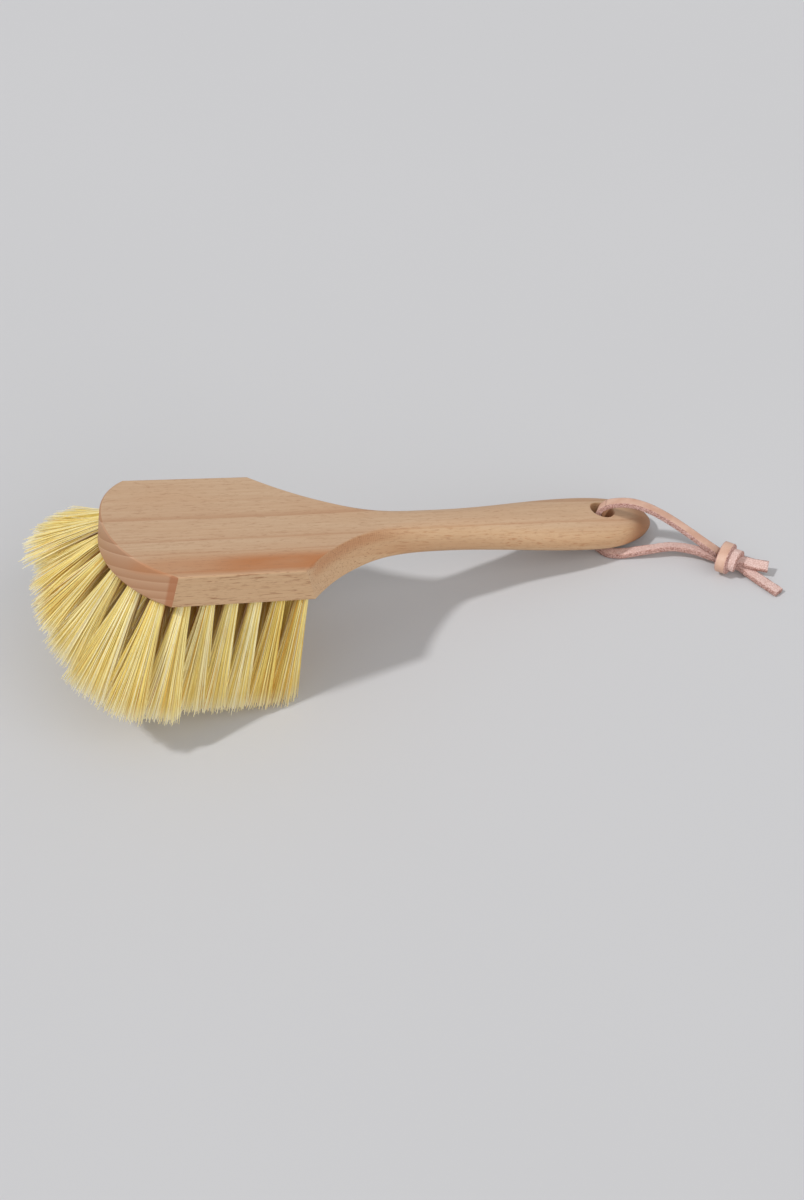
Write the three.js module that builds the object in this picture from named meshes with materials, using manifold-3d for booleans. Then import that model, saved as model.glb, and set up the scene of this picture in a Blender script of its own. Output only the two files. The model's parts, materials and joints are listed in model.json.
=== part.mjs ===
// A cushion brush: a one-piece beech head and handle, fibre tufts stapled into drilled holes, and a
// leather thong.
// The brush rests as it is put down: on the tips of its rear tufts and on the end of its handle.
import * as THREE from 'three';
import Module from 'manifold-3d';
import { mergeVertices } from 'three/addons/utils/BufferGeometryUtils.js';

const wasm = await Module();
wasm.setup();

// Board, in millimetres: x runs from the nose to the handle's end, z up from the board's underside
const LENGTH = 260;
const BOARD_THICKNESS = 15;
const ARRIS = 0.8;

// Head: a bowed nose, straight sides and shoulders cut back on top
const HEAD_WIDTH = 63;
const HEAD_LENGTH = 82.5;
const SHOULDER_SLANT = 8.5;
const NOSE_DEPTH = 19;
const NOSE_UNDERCUT = 2.8;
const CORNER_UNDERCUT = 0.7;

// Handle: scooped shoulders run into an oval neck, which swells to a grip with a rounded end
const NECK_FROM_NOSE = 152;
const NECK_WIDTH = 18.4;
const NECK_TOP_FLAT = 6.4;
const NECK_UNDERSIDE_FLAT = 11;
const SCOOP_POWER = 2.35;
const SCOOP_CREST = 48;
const GRIP_WIDTH = 29.4;
const GRIP_FROM_END = 34;
const END_ROUND_TOP = 22;
const END_ROUND_BOTTOM = 27;
const END_TIP_HEIGHT = 8.5;
const OVAL_POWER = 2.3;
const END_PLAN_POWER = 2;

// Hanging hole
const HANG_HOLE_DIAMETER = 10.4;
const HANG_HOLE_FROM_END = 27;
const HANG_HOLE_RIM = 0.8;

// Tufts stand in three rows inside one another, in blind holes drilled along each tuft
const OUTER_ROW_INSET = 5.5;
const INNER_ROW_WIDTH = 12;
const OUTER_TUFTS = 22;
const MIDDLE_TUFTS = 15;
const INNER_TUFTS = 7;
const ROW_CORNER_RADIUS = 2;
const ROW_REAR_SHIFT = 3;
const TUFT_HOLE_DIAMETER = 5.4;
const TUFT_HOLE_DEPTH = 9.2;
const BRISTLE_REACH = 52.5;
const NOSE_REACH = 42;
const SIDE_FLARE = 7;
const NOSE_FLARE = 20;
const FAR_CORNER_SWEEP = 62;
const FAN_FROM_NOSE = 38;
const FAR_FAN_FROM_NOSE = 48;
const FAN_FROM_REAR = 8;

// Strands of a tuft: one in the middle and a ring round it, spreading towards their tips
const RING_STRANDS = 6;
const STRAND_SIDES = 3;
const STRAND_RING_RADIUS = 1.7;
const STRAND_TIP_SPREAD = 2.2;
const STRAND_ROOT_RADIUS = 0.8;
const STRAND_TIP_RADIUS = 0.6;

// Slice of the underside that carries a row's strands, let into a recess of the board
const SLICE_THICKNESS = 1.4;
const SLICE_INSET = 2.2;
const STRAND_EMBED = 1;

// Flat wire staple across the bottom of each tuft hole, with the fibres folded over it
const STAPLE_LENGTH = 6.6;
const STAPLE_HEIGHT = 1.6;
const STAPLE_THICKNESS = 0.6;

// Fits and trimming
const CLEARANCE = 0.3;
const TIP_TRIM = 0.5;

// Thong: a flat lace through the hanging hole, its two ends tied in one overhand knot
const LACE_WIDTH = 4.8;
const LACE_THICKNESS = 2.2;
const LACE_CHAMFER = 0.4;

// Faceting
const NOSE_STATIONS = 8;
const SCOOP_STATIONS = 12;
const SCOOP_CROWDING = 1.4;
const NECK_STATIONS = 8;
const END_STATIONS = 8;
const SIDE_POINTS = 9;
const SECTION_TOP_ANGLE = 80;
const ROUND_SIDES = 20;
const TUFT_SIDES = 6;
const LOOP_SEGMENTS = 6;
const MERGE_DISTANCE = 1e-3;
const STEEPEST_TILT = Math.PI / 4;
const TILT_HALVINGS = 40;

const HALF_HEAD = HEAD_WIDTH / 2;
const HALF_NECK = NECK_WIDTH / 2;
const HALF_GRIP = GRIP_WIDTH / 2;
const GRIP_X = LENGTH - GRIP_FROM_END;
const HANG_HOLE_X = LENGTH - HANG_HOLE_FROM_END;
const INNER_ROW_INSET = HALF_HEAD - INNER_ROW_WIDTH / 2;
const ROWS = [
  { name: 'outer', inset: OUTER_ROW_INSET, tufts: OUTER_TUFTS },
  { name: 'middle', inset: (OUTER_ROW_INSET + INNER_ROW_INSET) / 2, tufts: MIDDLE_TUFTS },
  { name: 'inner', inset: INNER_ROW_INSET, tufts: INNER_TUFTS },
];

const finishes = {
  beech: { color: 0xc8a07d, roughness: 0.6, metalness: 0 },
  fibre: { color: 0xe3cf8e, roughness: 0.7, metalness: 0 },
  wire: { color: 0xb8b9bb, roughness: 0.35, metalness: 1 },
  leather: { color: 0xd7ad92, roughness: 0.65, metalness: 0 },
};

function toSolid(geometry) {
  const bare = geometry.clone();
  bare.deleteAttribute('normal');
  bare.deleteAttribute('uv');
  const merged = mergeVertices(bare, MERGE_DISTANCE);
  const corners = merged.index.array;
  const triangles = [];
  for (let i = 0; i < corners.length; i += 3) {
    const [a, b, c] = corners.slice(i, i + 3);
    const hasArea = a !== b && b !== c && c !== a;
    if (hasArea) triangles.push(a, b, c);
  }
  const vertProperties = merged.attributes.position.array;
  const triVerts = new Uint32Array(triangles);
  return new wasm.Manifold(new wasm.Mesh({ numProp: 3, vertProperties, triVerts }));
}

function toGeometry(solid) {
  const mesh = solid.getMesh();
  const geometry = new THREE.BufferGeometry();
  geometry.setAttribute('position', new THREE.BufferAttribute(mesh.vertProperties, 3));
  geometry.setIndex(new THREE.BufferAttribute(mesh.triVerts, 1));
  geometry.computeVertexNormals();
  return geometry;
}

function addMesh(group, name, geometry, finish) {
  const mesh = new THREE.Mesh(geometry, new THREE.MeshStandardMaterial(finishes[finish]));
  mesh.name = name;
  group.add(mesh);
  return mesh;
}

// A skin through rings of points, each ring in the same turning sense, closed by its first and last ring
function ringSkin(rings) {
  const count = rings[0].length;
  const positions = rings.flat().flatMap((point) => point.toArray());
  const triangles = [];
  for (let r = 0; r + 1 < rings.length; r += 1) {
    for (let i = 0; i < count; i += 1) {
      const next = (i + 1) % count;
      const [a, b] = [r * count + i, r * count + next];
      const [c, d] = [a + count, b + count];
      triangles.push(a, b, d, a, d, c);
    }
  }
  const last = (rings.length - 1) * count;
  for (let i = 1; i + 1 < count; i += 1) {
    triangles.push(0, i + 1, i, last, last + i, last + i + 1);
  }
  const geometry = new THREE.BufferGeometry();
  geometry.setAttribute('position', new THREE.Float32BufferAttribute(positions, 3));
  geometry.setIndex(triangles);
  return geometry;
}

function bowRadius(halfWidth, depth) {
  return (halfWidth ** 2 + depth ** 2) / (2 * depth);
}

function smoothStep(value) {
  const t = THREE.MathUtils.clamp(value, 0, 1);
  return t * t * (3 - 2 * t);
}

const TOP_BOW = bowRadius(HALF_HEAD, NOSE_DEPTH);
const UNDERSIDE_BOW = bowRadius(HALF_HEAD, NOSE_DEPTH + CORNER_UNDERCUT - NOSE_UNDERCUT);

// Half-width of a scoop that falls from the head's side at one place to its width at the neck
function scoopHalfWidth(x, startX, neckHalfWidth) {
  const run = THREE.MathUtils.clamp((x - startX) / (NECK_FROM_NOSE - startX), 0, 1);
  return neckHalfWidth + (HALF_HEAD - neckHalfWidth) * (1 - run) ** SCOOP_POWER;
}

function handleHalfWidth(x) {
  if (x <= GRIP_X) {
    const run = (x - NECK_FROM_NOSE) / (GRIP_X - NECK_FROM_NOSE);
    return HALF_NECK + (HALF_GRIP - HALF_NECK) * (1 - Math.cos(Math.PI * run)) / 2;
  }
  const run = Math.min((x - GRIP_X) / GRIP_FROM_END, 1);
  return HALF_GRIP * Math.sqrt(1 - run ** END_PLAN_POWER);
}

// How far the rounding of the handle's end has closed in, from 0 where it starts to 1 at the tip
function endRounding(x, roundLength) {
  const run = THREE.MathUtils.clamp((x - LENGTH + roundLength) / roundLength, 0, 1);
  return 1 - Math.sqrt(1 - run * run);
}

function topHeight(x) {
  return BOARD_THICKNESS - (BOARD_THICKNESS - END_TIP_HEIGHT) * endRounding(x, END_ROUND_TOP);
}

function undersideHeight(x) {
  return END_TIP_HEIGHT * endRounding(x, END_ROUND_BOTTOM);
}

// Stations down the length: where each section meets the top and the underside, and how oval it is
function bodyStations() {
  const stations = [];
  const noseAngle = Math.asin(HALF_HEAD / TOP_BOW);
  for (let i = 0; i <= NOSE_STATIONS; i += 1) {
    const angle = noseAngle * i / NOSE_STATIONS;
    const y = TOP_BOW * Math.sin(angle);
    const out = new THREE.Vector2(-Math.cos(angle), Math.sin(angle));
    if (i === NOSE_STATIONS) out.add(new THREE.Vector2(0, 1)).normalize();
    stations.push({
      topX: TOP_BOW * (1 - Math.cos(angle)),
      bottomX: NOSE_UNDERCUT + UNDERSIDE_BOW - Math.sqrt(UNDERSIDE_BOW ** 2 - y * y),
      topY: y,
      bottomY: y,
      ovalY: y,
      out,
      oval: 0,
    });
  }
  const shoulderTop = HEAD_LENGTH - SHOULDER_SLANT;
  const side = new THREE.Vector2(0, 1);
  for (let i = 0; i <= SCOOP_STATIONS; i += 1) {
    const run = (i / SCOOP_STATIONS) ** SCOOP_CROWDING;
    const topX = THREE.MathUtils.lerp(shoulderTop, NECK_FROM_NOSE, run);
    const bottomX = THREE.MathUtils.lerp(HEAD_LENGTH, NECK_FROM_NOSE, run);
    const middleX = (topX + bottomX) / 2;
    stations.push({
      topX,
      bottomX,
      topY: scoopHalfWidth(topX, shoulderTop, NECK_TOP_FLAT / 2),
      bottomY: scoopHalfWidth(bottomX, HEAD_LENGTH, NECK_UNDERSIDE_FLAT / 2),
      ovalY: scoopHalfWidth(middleX, (shoulderTop + HEAD_LENGTH) / 2, HALF_NECK),
      out: side,
      oval: smoothStep((middleX - NECK_FROM_NOSE + SCOOP_CREST) / SCOOP_CREST),
    });
  }
  const handle = [];
  for (let i = 1; i <= NECK_STATIONS; i += 1) {
    handle.push(THREE.MathUtils.lerp(NECK_FROM_NOSE, GRIP_X, i / NECK_STATIONS));
  }
  for (let i = 1; i <= END_STATIONS; i += 1) {
    handle.push(GRIP_X + GRIP_FROM_END * Math.sin(Math.PI / 2 * i / END_STATIONS));
  }
  for (const x of handle) {
    const y = handleHalfWidth(x);
    stations.push({ topX: x, bottomX: x, topY: y, bottomY: y, ovalY: y, out: side, oval: 1 });
  }
  return stations;
}

// One side of a section, from its top edge to its underside: a board with eased edges, blended into an oval
function sectionSide(station) {
  const top = topHeight(station.topX);
  const bottom = undersideHeight(station.bottomX);
  const middle = (SIDE_POINTS - 1) / 2;
  const easing = ARRIS * (1 - Math.SQRT1_2);
  const points = [];
  for (let k = 0; k < SIDE_POINTS; k += 1) {
    const fromEdge = Math.min(k, SIDE_POINTS - 1 - k);
    const inset = [ARRIS, easing][fromEdge] ?? 0;
    const flatShare = (fromEdge - 2) / (SIDE_POINTS - 5);
    const drop = [0, easing][fromEdge] ?? ARRIS + (top - bottom - 2 * ARRIS) * flatShare;
    const boardZ = k <= middle ? top - drop : bottom + drop;
    const share = (top - boardZ) / Math.max(top - bottom, MERGE_DISTANCE);
    const boardY = THREE.MathUtils.lerp(station.topY, station.bottomY, share);
    const angle = THREE.MathUtils.degToRad(SECTION_TOP_ANGLE * (1 - k / middle));
    const rise = Math.sin(Math.abs(angle)) / Math.sin(THREE.MathUtils.degToRad(SECTION_TOP_ANGLE));
    const ovalY = station.ovalY * Math.cos(angle) ** (2 / OVAL_POWER);
    const ovalZ = (top + bottom) / 2 + Math.sign(angle) * (top - bottom) / 2 * rise ** (2 / OVAL_POWER);
    const z = THREE.MathUtils.lerp(boardZ, ovalZ, station.oval);
    const y = THREE.MathUtils.lerp(boardY - inset * station.out.y, ovalY, station.oval);
    const boardX = THREE.MathUtils.lerp(station.topX, station.bottomX, share);
    const x = boardX - inset * station.out.x * (1 - station.oval);
    points.push(new THREE.Vector3(x, Math.max(y, 0), z));
  }
  return points;
}

function bodyBlank() {
  const rings = bodyStations().map((station) => {
    const right = sectionSide(station);
    const left = right.map((point) => new THREE.Vector3(point.x, -point.y, point.z));
    return [...right.reverse(), ...left];
  });
  return toSolid(ringSkin(rings));
}

// Outline of the underside moved in by a distance: bowed nose, straight sides and rounded rear corners
function drawLoop(path, inset) {
  const bow = UNDERSIDE_BOW - inset;
  const halfWidth = HALF_HEAD - inset;
  const centreX = NOSE_UNDERCUT + UNDERSIDE_BOW;
  const noseAngle = Math.asin(halfWidth / bow);
  const rearX = HEAD_LENGTH + ROW_REAR_SHIFT - inset;
  const corner = Math.min(ROW_CORNER_RADIUS, halfWidth);
  const cornerX = rearX - corner;
  const cornerY = halfWidth - corner;
  path.absarc(centreX, 0, bow, Math.PI, Math.PI + noseAngle);
  path.absarc(cornerX, -cornerY, corner, -Math.PI / 2, 0);
  path.absarc(cornerX, cornerY, corner, 0, Math.PI / 2);
  path.absarc(centreX, 0, bow, Math.PI - noseAngle, Math.PI);
  return path;
}

function plate(outline, depth) {
  return new THREE.ExtrudeGeometry(outline, { depth, bevelEnabled: false, curveSegments: LOOP_SEGMENTS });
}

// Tufts stand at even steps round their row, in holes that fan out from the head's middle. The strands of
// the nose's far corner are swept further out than their holes, and those of its near side are the longest.
function rowTufts(row) {
  const steps = drawLoop(new THREE.Path(), row.inset).getSpacedPoints(2 * row.tufts);
  const tufts = [];
  for (let i = 0; i < row.tufts; i += 1) {
    const root = steps[2 * i + 1];
    const fanStart = root.y > 0 ? FAR_FAN_FROM_NOSE : FAN_FROM_NOSE;
    const spineX = THREE.MathUtils.clamp(root.x, fanStart, HEAD_LENGTH - FAN_FROM_REAR);
    const out = new THREE.Vector2(root.x - spineX, root.y);
    const fan = out.length() / (HALF_HEAD - OUTER_ROW_INSET);
    out.normalize();
    if (fan === 0) out.set(1, 0);
    const forward = Math.max(-out.x, 0);
    const flare = fan * THREE.MathUtils.degToRad(SIDE_FLARE + (NOSE_FLARE - SIDE_FLARE) * forward);
    const leaning = (angle) => new THREE.Vector3(out.x, out.y, 0).multiplyScalar(Math.sin(angle))
      .setZ(-Math.cos(angle));
    const axis = leaning(flare);
    const frame = new THREE.Matrix4().makeBasis(
      new THREE.Vector3(out.y, -out.x, 0),
      new THREE.Vector3(out.x, out.y, 0).divideScalar(Math.cos(flare)),
      axis.clone().divideScalar(axis.z),
    );
    frame.setPosition(root.x, root.y, 0);
    const holeTop = TUFT_HOLE_DEPTH * Math.cos(flare);
    const cornerShare = forward * (2 - forward) * Math.max(out.y, 0) ** 2;
    const sweep = flare + fan * THREE.MathUtils.degToRad(FAR_CORNER_SWEEP * cornerShare);
    const trimShare = Math.sqrt(forward) * (1 - Math.max(-out.y, 0)) ** 2;
    const reach = THREE.MathUtils.lerp(BRISTLE_REACH, NOSE_REACH, trimShare);
    const tip = new THREE.Vector3(root.x, root.y, 0).addScaledVector(leaning(sweep), reach);
    tufts.push({ root: new THREE.Vector3(root.x, root.y, 0), tip, frame, holeTop });
  }
  return tufts;
}

// A tuft's frame has x across it, y outwards and z along its lean. A peg is round about it, with level ends.
function tuftPeg(tuft, diameter, from, to) {
  const radius = diameter / 2;
  const peg = new THREE.CylinderGeometry(radius, radius, to - from, TUFT_SIDES).rotateX(Math.PI / 2);
  return toSolid(peg.translate(0, 0, (from + to) / 2).applyMatrix4(tuft.frame));
}

function stapleBar(tuft, clearance, length) {
  const grow = 2 * clearance;
  const bar = new THREE.BoxGeometry(length + grow, STAPLE_THICKNESS + grow, STAPLE_HEIGHT + grow);
  bar.translate(0, 0, tuft.holeTop - CLEARANCE - STAPLE_HEIGHT / 2);
  return toSolid(bar.applyMatrix4(tuft.frame));
}

function strand(tuft, turn, ringRadius) {
  const place = new THREE.Vector3(ringRadius * Math.cos(turn), ringRadius * Math.sin(turn), 0);
  const root = place.applyMatrix4(tuft.frame);
  const offset = root.clone().sub(tuft.root);
  const tip = tuft.tip.clone().addScaledVector(offset, STRAND_TIP_SPREAD);
  const along = tip.clone().sub(root).normalize();
  const start = root.clone().addScaledVector(along, -STRAND_EMBED);
  const length = tip.distanceTo(start);
  const shape = new THREE.CylinderGeometry(STRAND_TIP_RADIUS, STRAND_ROOT_RADIUS, length, STRAND_SIDES);
  shape.applyQuaternion(new THREE.Quaternion().setFromUnitVectors(new THREE.Vector3(0, 1, 0), along));
  const centre = start.clone().lerp(tip, 0.5);
  return toSolid(shape.translate(centre.x, centre.y, centre.z));
}

function tuftStrands(tuft) {
  const strands = [strand(tuft, 0, 0)];
  for (let i = 0; i < RING_STRANDS; i += 1) {
    strands.push(strand(tuft, 2 * Math.PI * i / RING_STRANDS, STRAND_RING_RADIUS));
  }
  return strands;
}

function joinAll(solids) {
  return solids.reduce((joined, solid) => joined.add(solid));
}

// Resting tilt: the floor touches the trimmed tuft tips and the handle's underside at once
function restingTilt(tufts) {
  const tips = tufts.map((tuft) => tuft.tip);
  const sides = bodyStations().flatMap(sectionSide);
  const heightOf = (p, tilt) => p.z * Math.cos(tilt) - p.x * Math.sin(tilt);
  const lowest = (points, tilt) => Math.min(...points.map((p) => heightOf(p, tilt)));
  let [low, high] = [0, STEEPEST_TILT];
  for (let i = 0; i < TILT_HALVINGS; i += 1) {
    const tilt = (low + high) / 2;
    if (lowest(tips, tilt) + TIP_TRIM < lowest(sides, tilt)) low = tilt;
    else high = tilt;
  }
  return { tilt: low, floor: lowest(sides, low) };
}

function hangingHole() {
  const radius = HANG_HOLE_DIAMETER / 2;
  const rim = radius + HANG_HOLE_RIM;
  const past = radius;
  const profile = [
    [0, -past],
    [rim + past, -past],
    [rim, 0],
    [radius, HANG_HOLE_RIM],
    [radius, BOARD_THICKNESS - HANG_HOLE_RIM],
    [rim, BOARD_THICKNESS],
    [rim + past, BOARD_THICKNESS + past],
    [0, BOARD_THICKNESS + past],
  ].map(([r, z]) => new THREE.Vector2(r, z));
  const cutter = new THREE.LatheGeometry(profile, ROUND_SIDES).rotateX(Math.PI / 2);
  return toSolid(cutter.translate(HANG_HOLE_X, 0, 0));
}

const tuftsByRow = ROWS.map(rowTufts);
const rest = restingTilt(tuftsByRow.flat());

const brush = new THREE.Group();
brush.rotation.y = rest.tilt;
brush.position.z = -rest.floor;

// Beech head and handle
function beechBody() {
  const recessDepth = SLICE_THICKNESS + CLEARANCE;
  const recess = plate(drawLoop(new THREE.Shape(), SLICE_INSET - CLEARANCE), 2 * recessDepth);
  let body = bodyBlank().subtract(toSolid(recess.translate(0, 0, -recessDepth)));
  for (const tuft of tuftsByRow.flat()) {
    const hole = tuftPeg(tuft, TUFT_HOLE_DIAMETER, 0, tuft.holeTop);
    body = body.subtract(hole.add(stapleBar(tuft, CLEARANCE, STAPLE_LENGTH)));
  }
  return toGeometry(body.subtract(hangingHole()));
}
addMesh(brush, 'beech_body', beechBody(), 'beech');

// Half-space under the floor, in the tilted brush's own axes
function underFloor() {
  const slab = new THREE.BoxGeometry(2 * LENGTH, 2 * LENGTH, LENGTH);
  slab.translate(LENGTH / 2, 0, rest.floor - LENGTH / 2);
  return toSolid(slab.rotateY(-rest.tilt));
}

// A row of tufts: strands and pegs on their slice of the underside, trimmed where they stand
function tuftRow(index) {
  const next = ROWS[index + 1];
  const outer = index === 0 ? SLICE_INSET : (ROWS[index - 1].inset + ROWS[index].inset + CLEARANCE) / 2;
  const outline = drawLoop(new THREE.Shape(), outer);
  if (next) outline.holes.push(drawLoop(new THREE.Path(), (ROWS[index].inset + next.inset - CLEARANCE) / 2));
  let row = toSolid(plate(outline, SLICE_THICKNESS));
  const pegDiameter = TUFT_HOLE_DIAMETER - 2 * CLEARANCE;
  for (const tuft of tuftsByRow[index]) {
    const peg = tuftPeg(tuft, pegDiameter, SLICE_THICKNESS / 2, tuft.holeTop - CLEARANCE);
    const split = stapleBar(tuft, CLEARANCE, TUFT_HOLE_DIAMETER);
    row = row.add(joinAll([peg.subtract(split), ...tuftStrands(tuft)]));
  }
  return toGeometry(row.subtract(underFloor()));
}

ROWS.forEach((row, index) => {
  addMesh(brush, `tuft_row_${row.name}`, tuftRow(index), 'fibre');
  tuftsByRow[index].forEach((tuft, count) => {
    const name = `staple_${row.name}_${String(count + 1).padStart(2, '0')}`;
    addMesh(brush, name, toGeometry(stapleBar(tuft, 0, STAPLE_LENGTH)), 'wire');
  });
});

// Thong routes: x, y and height above the floor from the upright line through the hanging hole, then the way
// that the lace heads, in degrees round that line, and how far it rolls its far edge up, in degrees.
// The loop runs from the knot back to the knot.
const LOOP_ROUTE = [
  [41.1, -35, 6.2, -53, 0],
  [36.6, -29, 9.2, -50, 0],
  [31, -22.4, 13.4, -46, 0],
  [24.6, -16.4, 18, -42, 0],
  [18.2, -11.4, 21.6, -38, 0],
  [12, -7.6, 23.6, -36, 0],
  [7, -4.5, 23.2, -36, 0],
  [3.4, -1.9, 21.4, -38, 0],
  [1.2, -0.3, 18.2, -42, 0],
  [0.3, 0.1, 14, -48, 0],
  [-0.7, -0.2, 8, -58, 0],
  [-1.3, -0.6, 4, -66, 0],
  [-1.1, -2.9, 1.5, -74, 0],
  [-0.5, -6.6, 1.4, -78, 0],
  [1.2, -10.4, 1.4, -62, 0],
  [5.2, -13.3, 1.7, -46, 10],
  [11.2, -15.8, 2.6, -36, 20],
  [17.6, -18.3, 3.6, -30, 24],
  [25, -21, 4.4, -32, 20],
  [33, -26.4, 4.3, -40, 10],
  [41.1, -35, 3.5, -53, 0],
];
const UPPER_STRAND_END = 7;
const LOWER_STRAND_START = 13;
const TAIL_UPPER_ROUTE = [
  [48.6, -44, 5.7, -48, 0],
  [51.4, -46.3, 5.1, -40, 0],
  [57.2, -50.2, 4.4, -36, 0],
];
const TAIL_LOWER_ROUTE = [
  [47.7, -44.3, 3.2, -56, 0],
  [50, -49, 1.9, -60, 0],
  [55, -63.4, 1.4, -62, 0],
];
const KNOT_PLACE = new THREE.Vector3(43.1, -40.6, 6.65);
const KNOT_HEADING = -53;
const KNOT_PROFILE = [
  [0, -5],
  [4.6, -5],
  [5.4, -3.6],
  [7.4, -2.8],
  [8, 0],
  [7.4, 2.4],
  [6.2, 3.4],
  [4.6, 5],
  [0, 5],
];
const KNOT_FLATTENING = 0.79;
const LACE_STEPS_A_POINT = 2;
const LACE_MEASURE_STEPS = 20;

// A flat lace along a stretch of a route, rolled from level across the way that it heads and ending clear
// of the next stretch
function lace(route, from = 0, to = route.length - 1) {
  const places = route.map(([x, y, z]) => new THREE.Vector3(x, y, z));
  const curve = new THREE.CatmullRomCurve3(places, false, 'centripetal');
  const spans = route.length - 1;
  curve.arcLengthDivisions = spans * LACE_MEASURE_STEPS;
  const lengths = curve.getLengths();
  const start = lengths[from * LACE_MEASURE_STEPS] + (from > 0 ? CLEARANCE / 2 : 0);
  const end = lengths[to * LACE_MEASURE_STEPS] - (to < spans ? CLEARANCE / 2 : 0);
  const half = new THREE.Vector2(LACE_WIDTH / 2, LACE_THICKNESS / 2);
  const cut = half.clone().subScalar(LACE_CHAMFER);
  const corners = [[cut.x, half.y], [-cut.x, half.y], [-half.x, cut.y], [-half.x, -cut.y]];
  const section = [...corners, ...corners.map(([side, face]) => [-side, -face])];
  const steps = (to - from) * LACE_STEPS_A_POINT;
  const rings = [];
  for (let i = 0; i <= steps; i += 1) {
    const along = curve.getUtoTmapping(0, THREE.MathUtils.lerp(start, end, i / steps));
    const before = Math.min(Math.floor(along * spans), spans - 1);
    const share = along * spans - before;
    const between = (k) => THREE.MathUtils.lerp(route[before][k], route[before + 1][k], share);
    const heading = THREE.MathUtils.degToRad(between(3));
    const roll = THREE.MathUtils.degToRad(between(4));
    const point = curve.getPoint(along);
    const tangent = curve.getTangent(along);
    const side = new THREE.Vector3(-Math.sin(heading), Math.cos(heading), 0);
    side.addScaledVector(tangent, -side.dot(tangent)).normalize().applyAxisAngle(tangent, roll);
    const face = tangent.clone().cross(side);
    rings.push(section.map(([a, b]) => point.clone().addScaledVector(side, a).addScaledVector(face, b)));
  }
  return toGeometry(toSolid(ringSkin(rings)));
}

function laceKnot() {
  const profile = KNOT_PROFILE.map(([r, along]) => new THREE.Vector2(r, along));
  const knot = new THREE.LatheGeometry(profile, ROUND_SIDES).rotateZ(-Math.PI / 2);
  knot.scale(1, 1, KNOT_FLATTENING).rotateZ(THREE.MathUtils.degToRad(KNOT_HEADING));
  knot.translate(KNOT_PLACE.x, KNOT_PLACE.y, KNOT_PLACE.z);
  return toGeometry(toSolid(knot));
}

const thong = new THREE.Group();
const holeMiddle = new THREE.Vector3(HANG_HOLE_X, 0, BOARD_THICKNESS / 2);
thong.position.x = holeMiddle.applyAxisAngle(new THREE.Vector3(0, 1, 0), rest.tilt).x;
addMesh(thong, 'thong_upper_strand', lace(LOOP_ROUTE, 0, UPPER_STRAND_END), 'leather');
addMesh(thong, 'thong_bight', lace(LOOP_ROUTE, UPPER_STRAND_END, LOWER_STRAND_START), 'leather');
addMesh(thong, 'thong_lower_strand', lace(LOOP_ROUTE, LOWER_STRAND_START), 'leather');
addMesh(thong, 'thong_knot', laceKnot(), 'leather');
addMesh(thong, 'thong_tail_upper', lace(TAIL_UPPER_ROUTE), 'leather');
addMesh(thong, 'thong_tail_lower', lace(TAIL_LOWER_ROUTE), 'leather');

// The origin is on the floor, under the middle of the brush
const middle = new THREE.Box3().setFromObject(brush, true).getCenter(new THREE.Vector3());
const cushionBrush = new THREE.Group();
cushionBrush.add(brush, thong);
cushionBrush.position.set(-middle.x, -middle.y, 0);

export default cushionBrush;
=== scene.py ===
"""A cushion brush put down on a pale floor: beech head and handle, fibre tufts and a leather thong."""

import json
import math
import random

import bmesh
import bpy
from mathutils import Matrix, Quaternion, Vector


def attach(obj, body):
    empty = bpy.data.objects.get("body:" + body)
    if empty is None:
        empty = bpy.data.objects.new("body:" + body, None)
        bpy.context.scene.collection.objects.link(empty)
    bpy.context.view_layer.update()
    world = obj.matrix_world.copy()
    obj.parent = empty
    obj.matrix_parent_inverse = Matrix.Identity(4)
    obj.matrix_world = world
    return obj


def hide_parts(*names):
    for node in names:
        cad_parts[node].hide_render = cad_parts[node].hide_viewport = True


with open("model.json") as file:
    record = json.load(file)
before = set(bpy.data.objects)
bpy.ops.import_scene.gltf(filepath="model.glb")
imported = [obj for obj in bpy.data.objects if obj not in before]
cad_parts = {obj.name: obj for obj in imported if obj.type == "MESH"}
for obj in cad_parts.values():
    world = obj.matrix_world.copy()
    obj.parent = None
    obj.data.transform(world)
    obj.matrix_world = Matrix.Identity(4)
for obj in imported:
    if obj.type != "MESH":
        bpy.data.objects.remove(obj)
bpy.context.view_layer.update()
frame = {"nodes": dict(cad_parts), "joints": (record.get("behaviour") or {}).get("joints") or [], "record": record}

MM = 0.001

# Board, in millimetres: x runs from the nose to the handle's end, z up from the board's underside
LENGTH = 260
BOARD_THICKNESS = 15
ARRIS = 0.8
HEAD_WIDTH = 63
HEAD_LENGTH = 82.5
SHOULDER_SLANT = 8.5
NOSE_DEPTH = 19
NOSE_UNDERCUT = 2.8
CORNER_UNDERCUT = 0.7
NECK_FROM_NOSE = 152
NECK_WIDTH = 18.4
NECK_TOP_FLAT = 6.4
NECK_UNDERSIDE_FLAT = 11
SCOOP_POWER = 2.35
SCOOP_CREST = 48
GRIP_WIDTH = 29.4
GRIP_FROM_END = 34
END_ROUND_TOP = 22
END_ROUND_BOTTOM = 27
END_TIP_HEIGHT = 8.5
OVAL_POWER = 2.3
SECTION_TOP_ANGLE = 80
HANG_HOLE_DIAMETER = 10.4
HANG_HOLE_FROM_END = 27
HANG_HOLE_RIM = 0.8

# Tufts: rows inside one another, fanning out towards the nose
OUTER_ROW_INSET = 5.5
MIDDLE_ROW_INSET = 15.5
INNER_ROW_INSET = 25.5
ROW_CORNER_RADIUS = 2
ROW_REAR_SHIFT = 3
TUFT_HOLE_DIAMETER = 5.4
BRISTLE_REACH = 52.5
NOSE_REACH = 42
SIDE_FLARE = 7
NOSE_FLARE = 20
FAR_CORNER_SWEEP = 62
FAN_FROM_NOSE = 38
FAR_FAN_FROM_NOSE = 48
FAN_FROM_REAR = 8

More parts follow.
